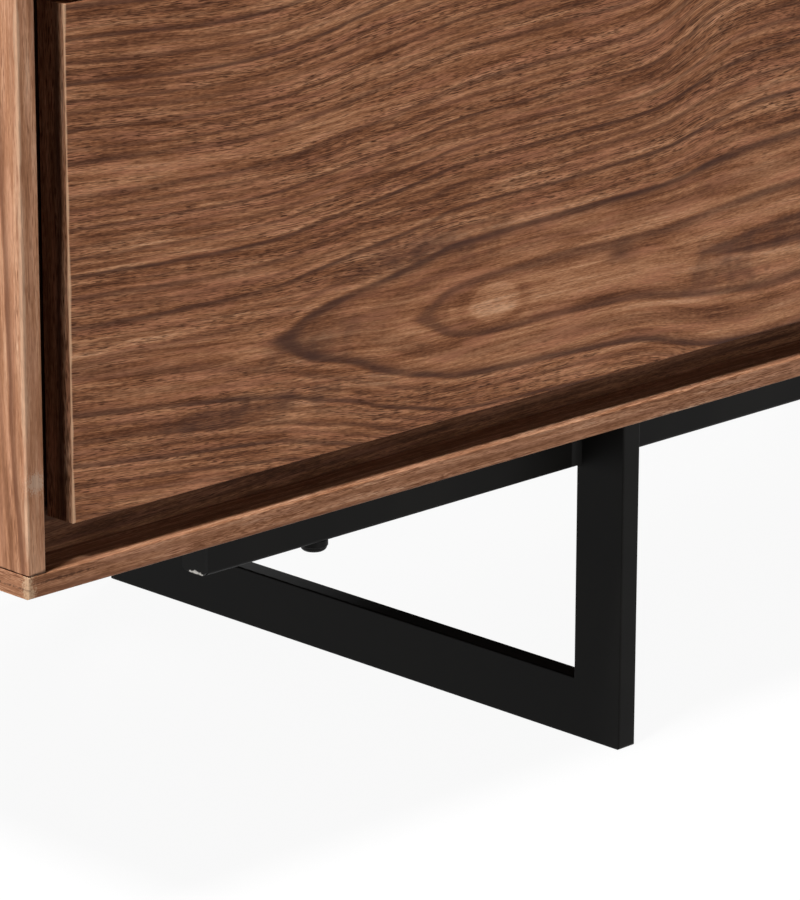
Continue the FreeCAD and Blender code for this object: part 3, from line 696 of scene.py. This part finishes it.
# %% Nylon and felt
def soft_finish(name, colours, roughness, size, depth, fuzz=0.0):
    """A mottled matt finish: size is the mottling's, depth that of its bumps, in millimetres."""
    material, tree = new_finish(name)
    place = add(tree, "TexCoord").outputs["Object"]
    mottle = add(tree, "TexNoise", {0: place, "Scale": 1 / (size * MM), "Detail": 3.0})
    tint = add(tree, "ValToRGB", {0: mottle.outputs[0]}, stops=list(zip((0.3, 0.7), colours)))
    bump = add(tree, "Bump", {"Strength": 0.5, "Distance": depth * MM, "Height": mottle.outputs[0]})
    shader = add(tree, "BsdfPrincipled", {
        "Base Color": tint.outputs[0], "Roughness": roughness, "IOR": 1.53, "Sheen Weight": fuzz,
        "Normal": bump.outputs[0]})
    add(tree, "OutputMaterial", {0: shader.outputs[0]})
    return material


nylon = soft_finish("moulded nylon", ("#D9D4C8", "#E6E2D8"), 0.42, 6.0, 0.05)
felt = soft_finish("pressed wool felt", ("#332E2A", "#4C4640"), 0.95, 0.5, 0.3, 0.3)
dress(nylon, "left_door_bushes", "right_door_bushes")
dress(felt, "felt_pads")

# %% [markdown]
# Screws. A screw head is a turned part, so its outline is spun round its axis. The recess for
# the driver is spun too, and then its rim is pushed in and out to the shape of the driver.

# %% Turn a screw head
weld_mm = 0.001
recess_margin = 0.02


def screw_head(outline, recess_radius, lobes, lobe_share, segments=36):
    """A head whose axis is Z and whose top faces up, spun from points of radius and height."""
    head = bmesh.new()
    points = [head.verts.new((radius * MM, 0, height * MM)) for radius, height in outline]
    edges = [head.edges.new(pair) for pair in zip(points, points[1:])]
    bmesh.ops.spin(head, geom=points + edges, cent=(0, 0, 0), axis=(0, 0, 1), angle=math.tau,
                   steps=segments, use_merge=True)
    bmesh.ops.remove_doubles(head, verts=head.verts, dist=weld_mm * MM)
    for vert in head.verts:
        if vert.co.xy.length < (recess_radius + recess_margin) * MM:
            angle = math.atan2(vert.co.y, vert.co.x)
            vert.co.xy *= 1 + lobe_share * math.cos(lobes * angle)
    bmesh.ops.recalc_face_normals(head, faces=head.faces)
    print("a head of", len(head.faces), "faces")
    return head


# %% [markdown]
# One head is made and then copied to every place that holds one. All copies are one piece,
# which rides on the case and keeps crisp edges where its faces meet at more than 35 degrees.

# %% Set the heads in
def set_in(name, head, matrices, material, body="case"):
    """Sets copies of a head where the matrices say, as one piece that rides on a body."""
    source = bpy.data.meshes.new(name + " source")
    head.to_mesh(source)
    head.free()
    whole = bmesh.new()
    for matrix in matrices:
        before = len(whole.verts)
        whole.from_mesh(source)
        whole.verts.ensure_lookup_table()
        bmesh.ops.transform(whole, matrix=matrix, verts=whole.verts[before:])
    for face in whole.faces:
        face.smooth = True
    mesh = bpy.data.meshes.new(name)
    whole.to_mesh(mesh)
    whole.free()
    bpy.data.meshes.remove(source)
    mesh.set_sharp_from_angle(angle=math.radians(35))
    mesh.materials.append(material)
    piece = bpy.data.objects.new(name, mesh)
    bpy.context.scene.collection.objects.link(piece)
    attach(piece, body)
    print(name, "has", len(mesh.polygons), "faces")
    return piece


# %% [markdown]
# The base hangs on four black cap screws that come up through the rails. Their low domes show
# under the front rail, so they are modelled with the hexagon recess that the key goes in.

# %% Base screws
flange_radius, flange_height, dome_height, hex_radius = 8.75, 4.5, 3.5, 3.1
top_height = flange_height + dome_height
dome_steps = 6
outline = [(3.0, 0.0), (flange_radius - 0.3, 0.0), (flange_radius, 0.3),
           (flange_radius, flange_height - 0.5), (flange_radius - 0.5, flange_height)]
for step in range(dome_steps):
    slope = step / dome_steps * math.pi / 2
    outline.append((hex_radius + (flange_radius - 0.6 - hex_radius) * math.cos(slope) ** 0.75,
                    flange_height + (dome_height - 0.2) * math.sin(slope)))
outline += [(hex_radius + 0.5, top_height - 0.05), (hex_radius, top_height - 0.25),
            (hex_radius, top_height - 3.2), (0.0, top_height - 3.8)]
base_screws_low, base_screws_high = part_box("base_screws")
half_head = flange_radius * MM
places = [(x, y) for x in (base_screws_low[0] + half_head, base_screws_high[0] - half_head)
          for y in (base_screws_low[1] + half_head, base_screws_high[1] - half_head)]
turn_down = Matrix.Rotation(math.pi, 4, "X")
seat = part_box("front_rail")[0][2]
matrices = [Matrix.Translation((x, y, seat)) @ turn_down for x, y in places]
base_screws = set_in("base_cap_screws", screw_head(outline, hex_radius, 6, 0.07), matrices, coat)
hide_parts("base_screws")

# %% [markdown]
# The back is a thin panel let into a rebate and held by small cross-head screws, a hand's
# width or two apart. From behind they are the only fittings that show. No two recesses stand
# the same way, since nobody turns a screw to match its neighbour.

# %% Back screws
back_low, back_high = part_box("back_panel")
in_from_edge = 4.0 * MM
columns, rows = 9, 3
spin_step = 37
left, right = back_low[0] + in_from_edge, back_high[0] - in_from_edge
low, high = back_low[2] + in_from_edge, back_high[2] - in_from_edge
spots = [(left + (right - left) * step / (columns - 1), z) for z in (low, high)
         for step in range(columns)]
spots += [(x, low + (high - low) * row / (rows + 1)) for x in (left, right, 0.0)
          for row in range(1, rows + 1)]
outline = [(2.6, -0.4), (3.2, -0.1), (3.3, 0.15), (3.0, 0.45), (2.2, 0.62), (1.5, 0.66),
           (1.35, 0.55), (1.0, -0.6), (0.0, -0.8)]
lean_back = Matrix.Rotation(-math.pi / 2, 4, "X")
matrices = [Matrix.Translation((x, back_high[1], z)) @ lean_back
            @ Matrix.Rotation(math.radians(index * spin_step), 4, "Z")
            for index, (x, z) in enumerate(spots)]
set_in("back_screws", screw_head(outline, 1.5, 4, 0.35, 24), matrices, nickel)

# %% [markdown]
# The floor. A white one would throw too much light up into the shadow gap, so its paint is a
# mid grey that only the camera sees as white. It still holds the soft shadow.

# %% Floor
def white_ground(name, share):
    """Matt paint, dark for the light it throws back. A camera or a mirror sees it as white."""
    material, tree = new_finish(name)
    rays = add(tree, "LightPath").outputs
    seen = add(tree, "Math", {0: rays["Is Camera Ray"], 1: rays["Is Glossy Ray"]},
               operation="MAXIMUM").outputs[0]
    seen = add(tree, "Math", {0: seen, 1: rays["Is Transmission Ray"]}, operation="MAXIMUM").outputs[0]
    paint = add(tree, "BsdfDiffuse", {"Color": linear("#606060")})
    white_paint = add(tree, "BsdfDiffuse", {"Color": linear("#F4F4F4")})
    glow = add(tree, "Emission", {"Color": (1, 1, 1, 1), "Strength": 1.0})
    paper = add(tree, "MixShader", {0: share, 1: white_paint.outputs[0], 2: glow.outputs[0]})
    mixed = add(tree, "MixShader", {0: seen, 1: paint.outputs[0], 2: paper.outputs[0]})
    add(tree, "OutputMaterial", {0: mixed.outputs[0]})
    return material


floor_size = 30.0
glow_share = 0.94
floor_mesh = bpy.data.meshes.new("floor")
sheet = bmesh.new()
bmesh.ops.create_grid(sheet, x_segments=1, y_segments=1, size=floor_size / 2)
sheet.to_mesh(floor_mesh)
sheet.free()
floor = bpy.data.objects.new("floor", floor_mesh)
bpy.context.scene.collection.objects.link(floor)
floor_mesh.materials.append(white_ground("white floor", glow_share))
print("a floor of", floor_size, "m square")

# %% [markdown]
# The sky. Round the object stands a white studio. The camera sees it as plain white, but only
# a little of its light falls on the object, so that the lamps give the shapes their shading.

# %% Sky
ambient_strength = 0.05
world = bpy.data.worlds.new("studio")
bpy.context.scene.world = world
world.use_nodes = True
sky = world.node_tree
sky.nodes.clear()
is_camera = add(sky, "LightPath").outputs["Is Camera Ray"]
ambient = add(sky, "Background", {"Color": (1, 1, 1, 1), "Strength": ambient_strength})
paper = add(sky, "Background", {"Color": (1, 1, 1, 1), "Strength": 1.0})
mixed = add(sky, "MixShader", {0: is_camera, 1: ambient.outputs[0], 2: paper.outputs[0]})
add(sky, "OutputWorld", {0: mixed.outputs[0]})
print("the sky lights with", ambient_strength, "of its white")

# %% [markdown]
# The lamps. A big soft lamp hangs high on the left, nearly level with the front, so that it
# grazes the front and leaves the shadow gap dark. A small one straight ahead, in line with the
# gap, lifts the front without lighting the gap's sides. A third, behind on the right, is for
# whoever looks from there.

# %% Lamps
def soft_lamp(name, place, target, size, power):
    """A square soft box that hangs at a place and points at a target."""
    light = bpy.data.lights.new(name, "AREA")
    light.size = size
    light.energy = power
    lamp = bpy.data.objects.new(name, light)
    bpy.context.scene.collection.objects.link(lamp)
    aim = Vector(target) - Vector(place)
    turn = aim.to_track_quat("-Z", "Y").to_matrix().to_4x4()
    lamp.matrix_world = Matrix.Translation(place) @ turn
    print(name, "gives", power, "W from", round(aim.length, 1), "m away")
    return lamp


middle = Vector((0.0, 0.0, 0.45))
soft_lamp("key soft box", middle + Vector((-4.0, -0.5, 5.8)), middle, 1.7, 985.0)
soft_lamp("fill soft box", middle + Vector((-0.8, -4.8, 0.2)), middle, 0.6, 80.0)
soft_lamp("back soft box", middle + Vector((4.4, 2.6, 2.4)), middle, 1.7, 180.0)

# %% [markdown]
# The camera. Its place, turn and lens were solved from the straight edges of the real piece:
# a long lens, seen from the left front and a little above the top.

# %% Camera
camera_place = Vector((-2.4209, -2.0764, 1.0136))
yaw, pitch, roll = math.radians(44.766), math.radians(16.653), math.radians(0.129)
focal_pixels, image_height, sensor_height = 4560.2, 900, 36.0
ahead = Vector((math.sin(yaw) * math.cos(pitch), math.cos(yaw) * math.cos(pitch), -math.sin(pitch)))
level = Vector((math.cos(yaw), -math.sin(yaw), 0))
upward = level.cross(ahead)
right_way = level * math.cos(roll) + upward * math.sin(roll)
upward = upward * math.cos(roll) - level * math.sin(roll)
lens = bpy.data.cameras.new("camera")
lens.sensor_fit = "VERTICAL"
lens.sensor_height = sensor_height
lens.lens = sensor_height * focal_pixels / image_height
camera = bpy.data.objects.new("camera", lens)
bpy.context.scene.collection.objects.link(camera)
turn = Matrix((right_way, upward, -ahead)).transposed().to_4x4()
camera.matrix_world = Matrix.Translation(camera_place) @ turn
bpy.context.scene.camera = camera
bpy.context.scene.view_settings.view_transform = "Standard"
print("a lens of", round(lens.lens, 1), "mm for a picture", sensor_height, "mm high")
